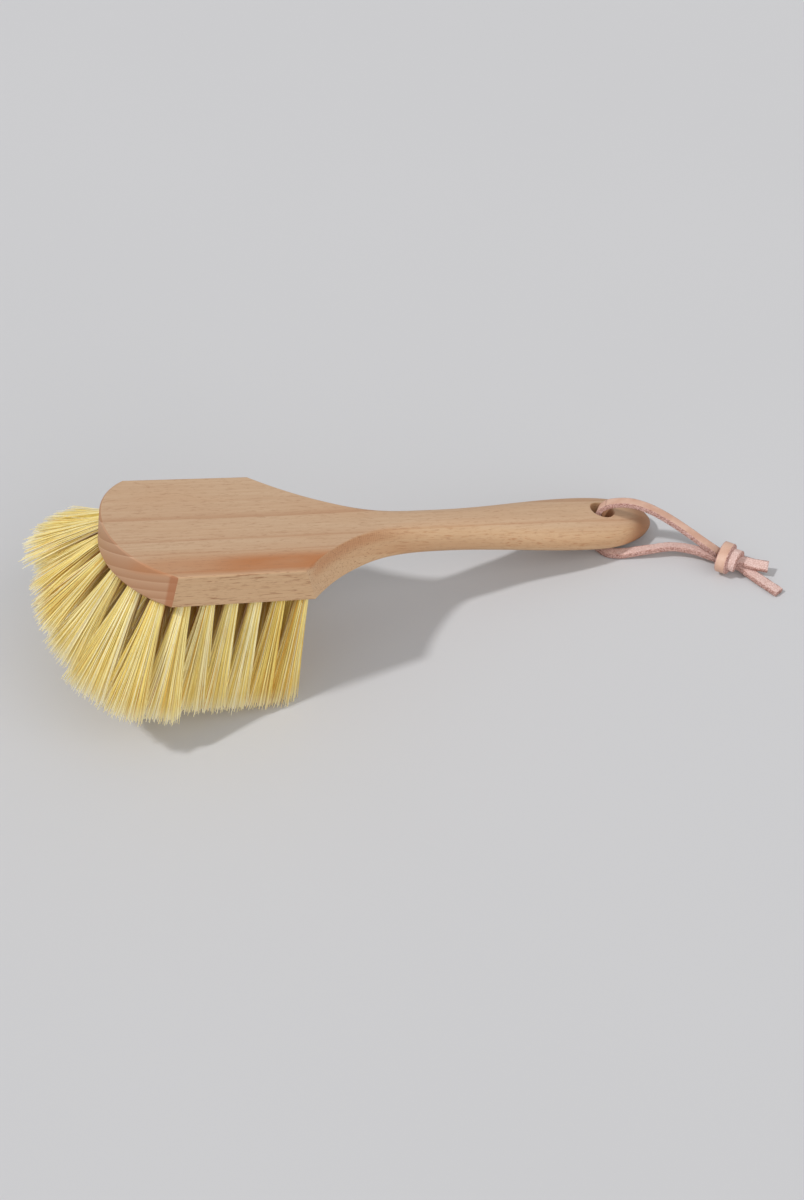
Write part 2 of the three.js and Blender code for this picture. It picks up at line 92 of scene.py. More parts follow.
# Growth rings: the tree's heart, far above the board's far side, and the rings' ends by their radius.
# The ring between the two red radii is redder than the others.
HEART_Y = 319
HEART_Z = 635
RING_ENDS = (670, 683, 695.2, 701.8, 705.7, 711.5, 715.1, 718.9, 722.2, 726, 731)
RING_EDGE = 0.12
RED_FROM = 705.7
RED_TO = 711.5

HALF_HEAD = HEAD_WIDTH / 2
HANG_HOLE_X = LENGTH - HANG_HOLE_FROM_END
GRIP_X = LENGTH - GRIP_FROM_END
SHOULDER_TOP = HEAD_LENGTH - SHOULDER_SLANT

# Where the beech's colour changes: down the board's length, then across it and up its sides
TOP_RED_FADE = (150, 95)
NOSE_RED_FADE = (20, 60)
SCOOP_START = (76, 84)
SCOOP_RED_FADE = (148, 106)
RIPPLE_FADE = (136, 112)
HANDLE_DASHES = (90, 150)
ROUNDED_END = (236, 250)
NEAR_NOSE = (-25, -12)
CORNER_STRIP = (2 - HALF_HEAD, 1.3 - HALF_HEAD)
SCOOP_RED_HEIGHTS = (6.5, 12.5)

# The board's place on the floor: tilted as its mounting face is, with its hanging hole on the swing's axis
swing = frame["joints"][0]
tilt = math.asin(frame["record"]["mounts"][0]["axis"][0])
hole_place = Vector(swing["pos_m"])
board_to_floor = (
    Matrix.Translation(hole_place)
    @ Matrix.Rotation(tilt, 4, "Y")
    @ Matrix.Translation(Vector((-HANG_HOLE_X, 0, -BOARD_THICKNESS / 2)) * MM)
    @ Matrix.Scale(MM, 4)
)
thong_to_floor = Matrix.Translation((hole_place.x, hole_place.y, 0)) @ Matrix.Scale(MM, 4)


def mix(start, end, share):
    return start + (end - start) * share


def clamp(value, low, high):
    return max(low, min(high, value))


def smooth_step(value):
    share = clamp(value, 0, 1)
    return share * share * (3 - 2 * share)


def tint(red, green, blue):
    """A colour given as it looks on a screen, 0 to 255, as Blender keeps it."""
    shares = []
    for level in (red, green, blue):
        level /= 255
        shares.append(level / 12.92 if level <= 0.04045 else ((level + 0.055) / 1.055) ** 2.4)
    return (*shares, 1)


# Materials

def add_node(tree, kind, inputs=None, **settings):
    """Adds a node with its settings, then sets or links its inputs, by name or number."""
    made = tree.nodes.new(kind)
    for key, value in settings.items():
        setattr(made, key, value)
    for key, value in (inputs or {}).items():
        if isinstance(value, bpy.types.NodeSocket):
            tree.links.new(value, made.inputs[key])
        else:
            made.inputs[key].default_value = value
    return made


def calculate(tree, operation, first, second=0.0, third=0.0):
    return add_node(tree, "ShaderNodeMath", {0: first, 1: second, 2: third}, operation=operation).outputs[0]


def product(tree, *values):
    """Values multiplied together."""
    total = values[0]
    for value in values[1:]:
        total = calculate(tree, "MULTIPLY", total, value)
    return total


def range_of(tree, value, low, high, to_low=0.0, to_high=1.0):
    """Spreads a value smoothly from one range over another."""
    inputs = {0: value, 1: low, 2: high, 3: to_low, 4: to_high}
    return add_node(tree, "ShaderNodeMapRange", inputs, interpolation_type="SMOOTHSTEP").outputs[0]


def blend(tree, share, below, above):
    inputs = {0: share, 6: below, 7: above}
    return add_node(tree, "ShaderNodeMix", inputs, data_type="RGBA").outputs[2]


def stretched(tree, place, scale):
    return add_node(tree, "ShaderNodeMapping", {"Vector": place, "Scale": scale}).outputs[0]


def noise(tree, place, scale, detail=2.0, roughness=0.5, distortion=0.0):
    inputs = {"Vector": place, "Scale": scale, "Detail": detail, "Roughness": roughness}
    inputs["Distortion"] = distortion
    return add_node(tree, "ShaderNodeTexNoise", inputs).outputs[0]


def start_material(name):
    material = bpy.data.materials.new(name)
    material.use_nodes = True
    return material, material.node_tree, material.node_tree.nodes["Principled BSDF"]


def in_millimetres(tree):
    """Object coordinates in millimetres."""
    place = add_node(tree, "ShaderNodeTexCoord").outputs["Object"]
    return stretched(tree, place, (1 / MM,) * 3)


def bump(tree, shader, height, strength, distance):
    inputs = {"Height": height, "Strength": strength, "Distance": distance * MM}
    tree.links.new(add_node(tree, "ShaderNodeBump", inputs).outputs[0], shader.inputs["Normal"])


def split(tree, vector):
    return add_node(tree, "ShaderNodeSeparateXYZ", {0: vector}).outputs


def ring_ramp(tree, radius):
    """How far each spot is through its growth ring, from 0 where the ring starts to 1 where it ends."""
    first, last = RING_ENDS[0], RING_ENDS[-1]
    share = calculate(tree, "DIVIDE", calculate(tree, "SUBTRACT", radius, first), last - first)
    ramp = add_node(tree, "ShaderNodeValToRGB", {0: share})
    stops = ramp.color_ramp.elements
    stops[0].color = (0, 0, 0, 1)
    stops[1].color = (1, 1, 1, 1)
    for ring_end in RING_ENDS[1:-1]:
        place = (ring_end - first) / (last - first)
        stops.new(place - RING_EDGE / (last - first)).color = (1, 1, 1, 1)
        stops.new(place).color = (0, 0, 0, 1)
    return ramp.outputs[0]


def beech_places(tree):
    """Places on the board in millimetres, and the way that its surface faces, both in the board's frame."""
    turn = (0, -tilt, 0)
    texture = add_node(tree, "ShaderNodeTexCoord").outputs
    placing = {"Vector": texture["Object"], "Rotation": turn, "Scale": (1 / MM,) * 3}
    placing["Location"] = board_to_floor.inverted().translation
    board = add_node(tree, "ShaderNodeMapping", placing).outputs[0]
    turning = {"Vector": texture["Normal"], "Rotation": turn}
    return board, add_node(tree, "ShaderNodeMapping", turning).outputs[0]


def ring_radius(tree, board):
    """Distance from the tree's heart, swaying a little along the board."""
    _, y, z = split(tree, board)
    sway = noise(tree, stretched(tree, board, (0.008, 0.02, 0.02)), 1, 1)
    sway = calculate(tree, "MULTIPLY_ADD", sway, 2, -1)
    across = calculate(tree, "SUBTRACT", y, HEART_Y)
    upward = calculate(tree, "SUBTRACT", z, HEART_Z)
    across = calculate(tree, "POWER", across, 2)
    upward = calculate(tree, "POWER", upward, 2)
    distance = calculate(tree, "SQRT", calculate(tree, "ADD", across, upward))
    return calculate(tree, "ADD", sway, distance)


def beech_finish():
    """Oiled beech: growth rings round a heart far above the board, short pores, and one redder ring."""
    material, tree, shader = start_material("oiled_beech")
    board, facing = beech_places(tree)
    x, y, z = split(tree, board)
    facing_x, facing_y, _ = split(tree, facing)
    end_grain = range_of(tree, product(tree, facing_x, -1), 0.12, 0.36)
    side_on = range_of(tree, calculate(tree, "ABSOLUTE", facing_y), 0.25, 0.85)

    # Each growth ring goes from pale to dark
    radius = ring_radius(tree, board)
    growth = ring_ramp(tree, radius)
    late_wood = range_of(tree, growth, 0.3, 1)
    ring_line = range_of(tree, growth, 0.84, 1)

    # Grain along the board, and short pores that show most on the sides
    grain = noise(tree, stretched(tree, board, (0.03, 1.1, 1.1)), 1, 4, 0.62)
    cloud = noise(tree, stretched(tree, board, (0.02, 0.07, 0.07)), 1, 2)
    pores = noise(tree, stretched(tree, board, (0.26, 2.1, 2.1)), 1, 2, 0.6, 0.4)
    dashes = noise(tree, stretched(tree, board, (0.14, 1.7, 1.9)), 1, 2, 0.6, 0.5)
    end_free = calculate(tree, "SUBTRACT", 1, end_grain)
    pore_share = product(tree, range_of(tree, pores, 0.54, 0.7, 0, 0.45), end_free)
    dash_sides = range_of(tree, side_on, 0, 1, 0.04, 0.8)
    dash_share = product(tree, range_of(tree, dashes, 0.56, 0.7), dash_sides, end_free)

    # The redder ring, which comes out on the near part of the top, and a red tint high in the scoops
    on_near_nose = product(tree, end_grain, range_of(tree, y, *NEAR_NOSE))
    in_scoop = product(tree, side_on, range_of(tree, x, *SCOOP_START), range_of(tree, x, *SCOOP_RED_FADE))
    red = product(
        tree,
        range_of(tree, radius, RED_FROM - 1, RED_FROM + 3),
        range_of(tree, radius, RED_TO - 0.5, RED_TO + 1.8, 1, 0),
        range_of(tree, x, *TOP_RED_FADE, 0.15, 1),
        range_of(tree, cloud, 0.25, 0.6, 0.6, 1),
        range_of(tree, x, *NOSE_RED_FADE, 0.55, 1),
        range_of(tree, on_near_nose, 0, 1, 1, 0.2),
        range_of(tree, in_scoop, 0, 1, 1, 0.15),
    )
    in_scoop = product(tree, in_scoop, range_of(tree, z, *SCOOP_RED_HEIGHTS))
    red = calculate(tree, "MAXIMUM", red, product(tree, in_scoop, 0.55))

    # Colours, from the plain wood to the marks on it
    colour = blend(tree, range_of(tree, grain, 0.25, 0.75), tint(199, 163, 130), tint(208, 177, 145))
    colour = blend(tree, range_of(tree, cloud, 0.4, 0.75, 0, 0.3), colour, tint(200, 157, 120))
    colour = blend(tree, product(tree, late_wood, 0.12), colour, tint(190, 140, 102))
    colour = blend(tree, product(tree, ring_line, 0.4), colour, tint(174, 122, 86))
    colour = blend(tree, product(tree, side_on, 0.5), colour, tint(206, 167, 121))
    nose = blend(tree, growth, tint(190, 148, 116), tint(170, 122, 88))
    nose = blend(tree, range_of(tree, growth, 0.12, 0.0, 0, 0.7), nose, tint(205, 166, 136))
    nose = blend(tree, range_of(tree, growth, 0.93, 1.0, 0, 0.4), nose, tint(154, 106, 74))
    colour = blend(tree, product(tree, end_grain, 0.9), colour, nose)
    colour = blend(tree, red, colour, tint(187, 122, 74))
    corner = product(tree, end_grain, range_of(tree, y, *CORNER_STRIP, 0, 0.7))
    colour = blend(tree, corner, colour, tint(168, 104, 64))
    # The rounded end's side turned from the key light is darker: partly its end grain, partly painted shade
    end_grain_and_shade = product(tree, range_of(tree, facing_x, 0, 0.28), range_of(tree, x, *ROUNDED_END, 0, 0.9))
    colour = blend(tree, end_grain_and_shade, colour, tint(156, 108, 72))
    colour = blend(tree, pore_share, colour, tint(164, 116, 82))
    dash_tint = blend(tree, range_of(tree, x, *HANDLE_DASHES), tint(156, 108, 70), tint(178, 124, 80))
    colour = blend(tree, dash_share, colour, dash_tint)
    tree.links.new(range_of(tree, grain, 0.2, 0.8, 0.5, 0.64), shader.inputs["Roughness"])

    # Cutter ripples in the upper half of the scoops, on top of the grain's own relief
    wave = {"Vector": board, "Scale": 0.27, "Distortion": 1.5, "Detail": 1}
    ripple = add_node(tree, "ShaderNodeTexWave", wave, bands_direction="X").outputs["Fac"]
    ripple = product(tree, ripple, in_scoop, range_of(tree, x, *RIPPLE_FADE))
    colour = blend(tree, product(tree, ripple, 0.3), colour, tint(160, 104, 60))
    tree.links.new(colour, shader.inputs["Base Color"])
    height = calculate(tree, "ADD", product(tree, grain, 0.4), ripple)
    height = calculate(tree, "SUBTRACT", height, product(tree, dash_share, 0.5))
    bump(tree, shader, height, 0.3, 0.1)
    return material


def fibre_finish():
    """Plant fibre: each strand its own shade of straw, bleached at the cut tip, with painted brown shade deep in
    the brush.
    A painted glow stands in for the little warm light that comes through the fibres, which are thin enough for it:
    they emit it, most towards their tips."""
    material, tree, shader = start_material("straw_fibre")
    shade = add_node(tree, "ShaderNodeAttribute", attribute_name="fibre_shade").outputs["Fac"]
    run = add_node(tree, "ShaderNodeAttribute", attribute_name="fibre_run").outputs["Fac"]
    inside = add_node(tree, "ShaderNodeAttribute", attribute_name="fibre_inside").outputs["Fac"]
    ramp = add_node(tree, "ShaderNodeValToRGB", {0: shade})
    stops = ramp.color_ramp.elements
    stops[0].color = tint(220, 168, 72)
    stops[1].color = tint(254, 247, 212)
    for place, colour in ((0.2, (241, 214, 114)), (0.5, (250, 231, 147)), (0.8, (253, 243, 192))):
        stops.new(place).color = tint(*colour)
    colour = ramp.outputs[0]
    streak = noise(tree, stretched(tree, in_millimetres(tree), (0.5, 0.5, 0.1)), 1, 2)
    colour = blend(tree, range_of(tree, streak, 0.5, 0.8, 0, 0.25), colour, tint(232, 182, 80))
    # Painted shade: fibres deep in the brush, and the inner sides of tufts, turn brown towards the roots, where
    # little light reaches
    painted_depth_shade = product(tree, inside, range_of(tree, run, 0.75, 0.05, 0, 0.95))
    colour = blend(tree, painted_depth_shade, colour, tint(158, 82, 20))
    colour = blend(tree, range_of(tree, run, 0.86, 1.0, 0, 0.5), colour, tint(254, 248, 222))
    tree.links.new(colour, shader.inputs["Base Color"])
    tree.links.new(range_of(tree, shade, 0, 1, 0.42, 0.58), shader.inputs["Roughness"])
    shader.inputs["Specular IOR Level"].default_value = 0.3
    # Painted glow: the fibres emit a little warm light, fading out towards their roots, in place of light that
    # passes through them
    painted_glow = blend(tree, 0.2, colour, tint(220, 140, 50))
    painted_glow = blend(tree, range_of(tree, run, 0.6, 1.0, 0.65, 0), painted_glow, tint(0, 0, 0))
    tree.links.new(painted_glow, shader.inputs["Emission Color"])
    shader.inputs["Emission Strength"].default_value = 0.1
    return material


def grain_leather_finish():
    """The smooth tan side of the lace, with fine creases across it."""
    material, tree, shader = start_material("tan_leather")
    place = in_millimetres(tree)
    cloud = noise(tree, place, 0.18, 3)
    crease = noise(tree, place, 1.6, 4, 0.6)
    colour = blend(tree, range_of(tree, cloud, 0.3, 0.7), tint(208, 163, 140), tint(222, 183, 162))
    colour = blend(tree, range_of(tree, crease, 0.55, 0.75, 0, 0.3), colour, tint(188, 140, 112))
    tree.links.new(colour, shader.inputs["Base Color"])
    tree.links.new(range_of(tree, crease, 0.3, 0.7, 0.42, 0.6), shader.inputs["Roughness"])
    bump(tree, shader, crease, 0.2, 0.1)
    return material


def suede_finish(name, dark, light):
    """The rough pink flesh side or a cut edge of the lace, between a darker and a lighter colour."""
    material, tree, shader = start_material(name)
    place = in_millimetres(tree)
    nap = noise(tree, place, 2.1, 2, 0.6)
    patch = noise(tree, place, 0.35, 2)
    colour = blend(tree, range_of(tree, nap, 0.38, 0.62), tint(*dark), tint(*light))
    colour = blend(tree, range_of(tree, patch, 0.4, 0.7, 0, 0.25), colour, tint(214, 174, 160))
    tree.links.new(colour, shader.inputs["Base Color"])
    tree.links.new(range_of(tree, nap, 0.3, 0.7, 0.85, 0.98), shader.inputs["Roughness"])
    bump(tree, shader, nap, 0.7, 0.35)
    return material


def wire_finish():
    """Flat steel wire, drawn and a little dull."""
    material, tree, shader = start_material("drawn_wire")
    drawn = noise(tree, stretched(tree, in_millimetres(tree), (0.6, 6, 6)), 1, 2)
    colour = blend(tree, drawn, tint(150, 150, 153), tint(204, 205, 207))
    tree.links.new(colour, shader.inputs["Base Color"])
    tree.links.new(range_of(tree, drawn, 0.2, 0.8, 0.28, 0.46), shader.inputs["Roughness"])
    shader.inputs["Metallic"].default_value = 1
    return material


def floor_finish():
    material, tree, shader = start_material("pale_floor")
    cloud = noise(tree, in_millimetres(tree), 0.004, 2)
    colour = blend(tree, cloud, tint(203, 203, 205), tint(206, 206, 208))
    tree.links.new(colour, shader.inputs["Base Color"])
    shader.inputs["Roughness"].default_value = 0.9
    shader.inputs["Specular IOR Level"].default_value = 0.1
    return material


beech = beech_finish()
fibre = fibre_finish()
tan_leather = grain_leather_finish()
suede = suede_finish("pink_suede", (208, 170, 160), (238, 209, 201))
# The cut edges are darker than the flesh side: partly their own colour, partly painted shade for edges turned from
# the light
cut_edge_and_shade = suede_finish("cut_edge_and_shade", (148, 97, 85), (219, 182, 172))
wire = wire_finish()


# Shared shaping

def finish_piece(name, bm, materials, body):
    """Makes a piece of a bmesh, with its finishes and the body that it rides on."""
    mesh = bpy.data.meshes.new(name)
    bm.to_mesh(mesh)
    bm.free()
    piece = bpy.data.objects.new(name, mesh)
    bpy.context.scene.collection.objects.link(piece)
    for material in materials:
        mesh.materials.append(material)
    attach(piece, body)
    return piece


def add_ring(bm, points):
    """A closed ring of edges through points."""
    corners = [bm.verts.new(point) for point in points]
    edges = [bm.edges.new(pair) for pair in zip(corners, corners[1:] + corners[:1])]
    return corners, edges


# Camera and cords come first

def place_camera():
    """The photograph's view, for a frame of 804 by 1200."""
    azimuth, elevation = math.radians(-24.77), math.radians(43.337)
    distance, focal_share = 1.01071, 2363.69 / 1200
    target = Vector((0.02, -0.00905, 0))
    back = Vector((
        math.sin(azimuth) * math.cos(elevation),
        -math.cos(azimuth) * math.cos(elevation),
        math.sin(elevation),
    ))
    data = bpy.data.cameras.new("camera")
    data.sensor_fit = "VERTICAL"
    data.sensor_height = 36
    data.sensor_width = 36
    data.lens = focal_share * data.sensor_height
    camera = bpy.data.objects.new("camera", data)
    camera.location = target + back * distance
    camera.rotation_mode = "QUATERNION"
    camera.rotation_quaternion = (-back).to_track_quat("-Z", "Y")
    bpy.context.scene.collection.objects.link(camera)
    bpy.context.scene.camera = camera


place_camera()

# Lace: its section in millimetres, how finely it is swept and how rough its suede is
LACE_WIDTH = 4.8
LACE_THICKNESS = 2.2
LACE_EDGE_ROUND = 0.45
LACE_STEPS = 6
LACE_FUZZ = 0.07
BIGHT_FUZZ = 0.01
LACE_CORNER_POINTS = 4
LACE_FLAT_STEPS = 5
FACE_MARGIN = 0.02
FLOOR_GAP = 0.1

# Thong routes: x, y and height above the floor from the upright line through the hanging hole, then the
# way that the lace heads and how far it is rolled about its own line, in degrees. The loop runs from the
# knot to the knot.
UPPER_ROUTE = [
    (41.1, -35, 6.2, -53, 0),
    (36.6, -29, 9.2, -50, 3),
    (31, -22.4, 13.4, -46, 3),
    (24.6, -16.4, 18, -42, 3),
    (18.2, -11.4, 21.6, -38, 3),
    (12, -7.6, 23.6, -36, 3),
    (7, -4.5, 23.2, -36, 3),
    (3.4, -1.9, 21.4, -38, 0),
]
BIGHT_ROUTE = [
    (1.2, -0.3, 18.2, -42, 0),
    (0.3, 0.1, 14, -48, 0),
    (-0.7, -0.2, 8, -58, 0),
    (-1.3, -0.6, 4, -66, 0),
    (-1.1, -2.9, 1.5, -74, 0),
]
LOWER_ROUTE = [
    (-0.5, -6.6, 1.4, -78, 0),
    (1.2, -10.4, 1.4, -62, 0),
    (5.2, -13.3, 1.7, -46, 5),
    (11.2, -15.8, 2.6, -36, -2),
    (17.6, -18.3, 3.6, -30, -9),
    (25, -21, 4.4, -32, -12),
    (33, -26.4, 4.3, -40, -8),
    (41.1, -35, 3.5, -53, 0),
]
TAIL_UPPER_ROUTE = [
    (45, -41.6, 6.2, -53, 0),
    (48.6, -44, 5.7, -48, 0),
    (51.4, -46.3, 5.1, -40, 18),
    (57.2, -50.2, 4.4, -36, 22),
]
TAIL_LOWER_ROUTE = [
    (45, -41, 4.4, -53, 0),
    (47.7, -44.3, 3.2, -56, 0),
    (50, -49, 1.9, -60, 0),
    (55, -63.4, 1.4, -62, 0),
]

# The knot's two turns: first and last angle, half-width, half-height, first and last shift along the knot
KNOT_PLACE = Vector((43.1, -40.6, 6.65))
KNOT_HEADING = math.radians(-53)
KNOT_STEPS = 40
KNOT_WRAP = (-20, 290, 6.6, 4.9, -1.9, -1.0)
KNOT_TURNED = (-10, 200, 4.6, 3.4, 2.6, 2.2)


def along_route(route, from_point=0, to_point=None):
    """Points, headings and rolls along a smooth centripetal curve through a route."""
    places = [Vector(stop[:3]) for stop in route]
    last = len(route) - 1
    to_point = last if to_point is None else to_point
    before = [2 * places[0] - places[1]] + places
    after = places + [2 * places[-1] - places[-2]]
    stops = []
    for span in range(from_point, to_point):
        a, b, c, d = before[span], places[span], places[span + 1], after[span + 2]
        ab, bc, cd = math.sqrt((b - a).length), math.sqrt((c - b).length), math.sqrt((d - c).length)
        leave = ((b - a) / ab - (c - a) / (ab + bc) + (c - b) / bc) * bc
        arrive = ((c - b) / bc - (d - b) / (bc + cd) + (d - c) / cd) * bc
        curve = 3 * (c - b) - 2 * leave - arrive
        twist = 2 * (b - c) + leave + arrive
        steps = LACE_STEPS + 1 if span == to_point - 1 else LACE_STEPS
        for step in range(steps):
            t = step / LACE_STEPS
            point = b + leave * t + curve * t ** 2 + twist * t ** 3
            heading = math.radians(mix(route[span][3], route[span + 1][3], t))
            roll = math.radians(mix(route[span][4], route[span + 1][4], t))
            stops.append((point, Vector((-math.sin(heading), math.cos(heading), 0)), roll))
    return stops


def lace_section():
    """Corners of the lace's section, each sideways and towards its flesh side: rounded edges and flats."""
    half_width, half_thickness, edge = LACE_WIDTH / 2, LACE_THICKNESS / 2, LACE_EDGE_ROUND
    arcs = []
    for side, face, start in ((1, 1, 0), (-1, 1, 90), (-1, -1, 180), (1, -1, 270)):
        arc = []
        for step in range(LACE_CORNER_POINTS):
            turn = math.radians(start + 90 * step / (LACE_CORNER_POINTS - 1))
            sideways = side * (half_width - edge) + edge * math.cos(turn)
            arc.append((sideways, face * (half_thickness - edge) + edge * math.sin(turn)))
        arcs.append(arc)
    corners = []
    for arc, next_arc in zip(arcs, arcs[1:] + arcs[:1]):
        corners += arc
        for step in range(1, LACE_FLAT_STEPS):
            share = step / LACE_FLAT_STEPS
            corners.append(tuple(mix(a, b, share) for a, b in zip(arc[-1], next_arc[0])))
    return corners


def lace_piece(name, stops, seed, roughness=LACE_FUZZ):
    """A lace swept along stops: smooth on its grain side, suede on its flesh side, and with cut edges."""
    chance = random.Random(seed)
    section = lace_section()
    grain_side = FACE_MARGIN - LACE_THICKNESS / 2
    bm = bmesh.new()
    numbers = {}
    loops = []
    points = [stop[0] for stop in stops]
    for index, (point, side, roll) in enumerate(stops):
        tangent = (points[min(index + 1, len(points) - 1)] - points[max(index - 1, 0)]).normalized()
        side = (side - tangent * side.dot(tangent)).normalized()
        side.rotate(Quaternion(tangent, roll))
        face = tangent.cross(side)
        ring = []
        for a, b in section:
            fuzz = 0 if b <= grain_side else chance.uniform(-roughness, roughness)
            corner = point + side * (a + fuzz) + face * (b + fuzz)
            corner.z = max(corner.z, FLOOR_GAP)
            ring.append(corner)
        corners, edges = add_ring(bm, ring)
        numbers.update({corner: number for number, corner in enumerate(corners)})
        loops.append(edges)
    for near, far in zip(loops, loops[1:]):
        bmesh.ops.bridge_loops(bm, edges=near + far)
    for end in (loops[0], loops[-1]):
        bmesh.ops.edgeloop_fill(bm, edges=end)
    bmesh.ops.recalc_face_normals(bm, faces=bm.faces)
    for patch in bm.faces:
        patch.smooth = True
        depths = [section[numbers[corner]][1] for corner in patch.verts]
        if max(depths) <= grain_side:
            patch.material_index = 0
        elif min(depths) >= -grain_side:
            patch.material_index = 1
        else:
            patch.material_index = 2
    bmesh.ops.transform(bm, matrix=thong_to_floor, verts=bm.verts)
    return finish_piece(name, bm, (tan_leather, suede, cut_edge_and_shade), "hanging_loop")


def knot_turn(start, end, across, upright, shift_start, shift_end, grain_out):
    """Stops of a turn of the lace round the knot's axis, from one angle to another."""
    axis = Vector((math.cos(KNOT_HEADING), math.sin(KNOT_HEADING), 0))
    side = Vector((-axis.y, axis.x, 0))
    stops = []
    for step in range(KNOT_STEPS + 1):
        share = step / KNOT_STEPS
        angle = math.radians(mix(start, end, share))
        shift = mix(shift_start, shift_end, share)
        round_axis = side * (across * math.cos(angle)) + Vector((0, 0, upright * math.sin(angle)))
        stops.append((KNOT_PLACE + axis * shift + round_axis, -axis if grain_out else axis, 0))
    return stops


loop_route = UPPER_ROUTE + BIGHT_ROUTE + LOWER_ROUTE
upper_end = len(UPPER_ROUTE) - 1
lower_start = len(UPPER_ROUTE) + len(BIGHT_ROUTE)
upper_stops = along_route(loop_route, 0, upper_end)
lower_stops = along_route(loop_route, lower_start)
upper_strand = lace_piece("upper_strand", upper_stops, 11)
bight_stops = along_route(loop_route, upper_end, lower_start)
bight = lace_piece("bight", bight_stops, 12, BIGHT_FUZZ)
lower_strand = lace_piece("lower_strand", lower_stops, 13)
tail_upper = lace_piece("tail_upper", along_route(TAIL_UPPER_ROUTE), 14)
tail_lower = lace_piece("tail_lower", along_route(TAIL_LOWER_ROUTE), 15)
knot_wrap = lace_piece("knot_wrap", knot_turn(*KNOT_WRAP, grain_out=True), 16)
knot_turned = lace_piece("knot_turned", knot_turn(*KNOT_TURNED, grain_out=False), 17)
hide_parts("thong_upper_strand")
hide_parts("thong_bight")
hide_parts("thong_lower_strand")
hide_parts("thong_tail_upper")
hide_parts("thong_tail_lower")
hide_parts("thong_knot")


# Beech head and handle

def bow_radius(half_width, depth):
    return (half_width ** 2 + depth ** 2) / (2 * depth)


TOP_BOW = bow_radius(HALF_HEAD, NOSE_DEPTH)
UNDERSIDE_BOW = bow_radius(HALF_HEAD, NOSE_DEPTH + CORNER_UNDERCUT - NOSE_UNDERCUT)

# How finely the body is divided, and what its mesh needs
NOSE_STATIONS = 24
SCOOP_STATIONS = 56
SCOOP_CROWDING = 1.4
NECK_STATIONS = 36
END_STATIONS = 26
EASE_STEPS = 6
EASE_MARGIN = 0.3
WALL_POINTS = 9
LEAST_HALF_WIDTH = 0.02
MERGE_DISTANCE = 0.045
CRISP_EDGE = math.radians(20)
HANG_HOLE_SIDES = 48
TUFT_HOLE_SIDES = 20
TUFT_HOLE_CUT = 8
CUTTER_MARGIN = 1
CUTTER_REACH = 4
ROW_ARC_STEPS = 40


def scoop_half_width(x, start_x, neck_half_width):
    """Half-width of a scoop that falls from the head's side to its width at the neck."""
    run = clamp((x - start_x) / (NECK_FROM_NOSE - start_x), 0, 1)
    return neck_half_width + (HALF_HEAD - neck_half_width) * (1 - run) ** SCOOP_POWER


def handle_half_width(x):
    if x <= GRIP_X:
        run = (x - NECK_FROM_NOSE) / (GRIP_X - NECK_FROM_NOSE)
        return mix(NECK_WIDTH, GRIP_WIDTH, (1 - math.cos(math.pi * run)) / 2) / 2
    run = min((x - GRIP_X) / GRIP_FROM_END, 1)
    return GRIP_WIDTH / 2 * math.sqrt(1 - run ** 2)


def end_rounding(x, round_length):
    run = clamp((x - LENGTH + round_length) / round_length, 0, 1)
    return 1 - math.sqrt(1 - run * run)


def body_stations():
    """Down the length: where each section meets the top and underside, its way out and how oval it is."""
    stations = []
    nose_angle = math.asin(HALF_HEAD / TOP_BOW)
    for i in range(NOSE_STATIONS + 1):
        angle = nose_angle * i / NOSE_STATIONS
        y = TOP_BOW * math.sin(angle)
        way_out = Vector((-math.cos(angle), math.sin(angle)))
        if i == NOSE_STATIONS:
            way_out = (way_out + Vector((0, 1))).normalized()
        top_x = TOP_BOW * (1 - math.cos(angle))
        bottom_x = NOSE_UNDERCUT + UNDERSIDE_BOW - math.sqrt(UNDERSIDE_BOW ** 2 - y * y)
        stations.append((top_x, bottom_x, y, y, y, way_out, 0))
    sideways = Vector((0, 1))
    for i in range(SCOOP_STATIONS + 1):
        run = (i / SCOOP_STATIONS) ** SCOOP_CROWDING
        top_x = mix(SHOULDER_TOP, NECK_FROM_NOSE, run)
        bottom_x = mix(HEAD_LENGTH, NECK_FROM_NOSE, run)
        middle_x = (top_x + bottom_x) / 2
        stations.append((
            top_x,
            bottom_x,
            scoop_half_width(top_x, SHOULDER_TOP, NECK_TOP_FLAT / 2),
            scoop_half_width(bottom_x, HEAD_LENGTH, NECK_UNDERSIDE_FLAT / 2),
            scoop_half_width(middle_x, (SHOULDER_TOP + HEAD_LENGTH) / 2, NECK_WIDTH / 2),
            sideways,
            smooth_step((middle_x - NECK_FROM_NOSE + SCOOP_CREST) / SCOOP_CREST),
        ))
    handle = [mix(NECK_FROM_NOSE, GRIP_X, (i + 1) / NECK_STATIONS) for i in range(NECK_STATIONS)]
    for i in range(END_STATIONS):
        handle.append(GRIP_X + GRIP_FROM_END * math.sin(math.pi / 2 * (i + 1) / END_STATIONS))
    for x in handle:
        y = handle_half_width(x)
        stations.append((x, x, y, y, y, sideways, 1))
    return stations


def eased_edge():
    """Insets and drops round an eased edge, from one flat to the other."""
    edge = [(ARRIS + EASE_MARGIN, 0)]
    for step in range(EASE_STEPS + 1):
        turn = math.pi / 2 * step / EASE_STEPS
        edge.append((ARRIS * (1 - math.sin(turn)), ARRIS * (1 - math.cos(turn))))
    edge.append((0, ARRIS + EASE_MARGIN))
    return edge


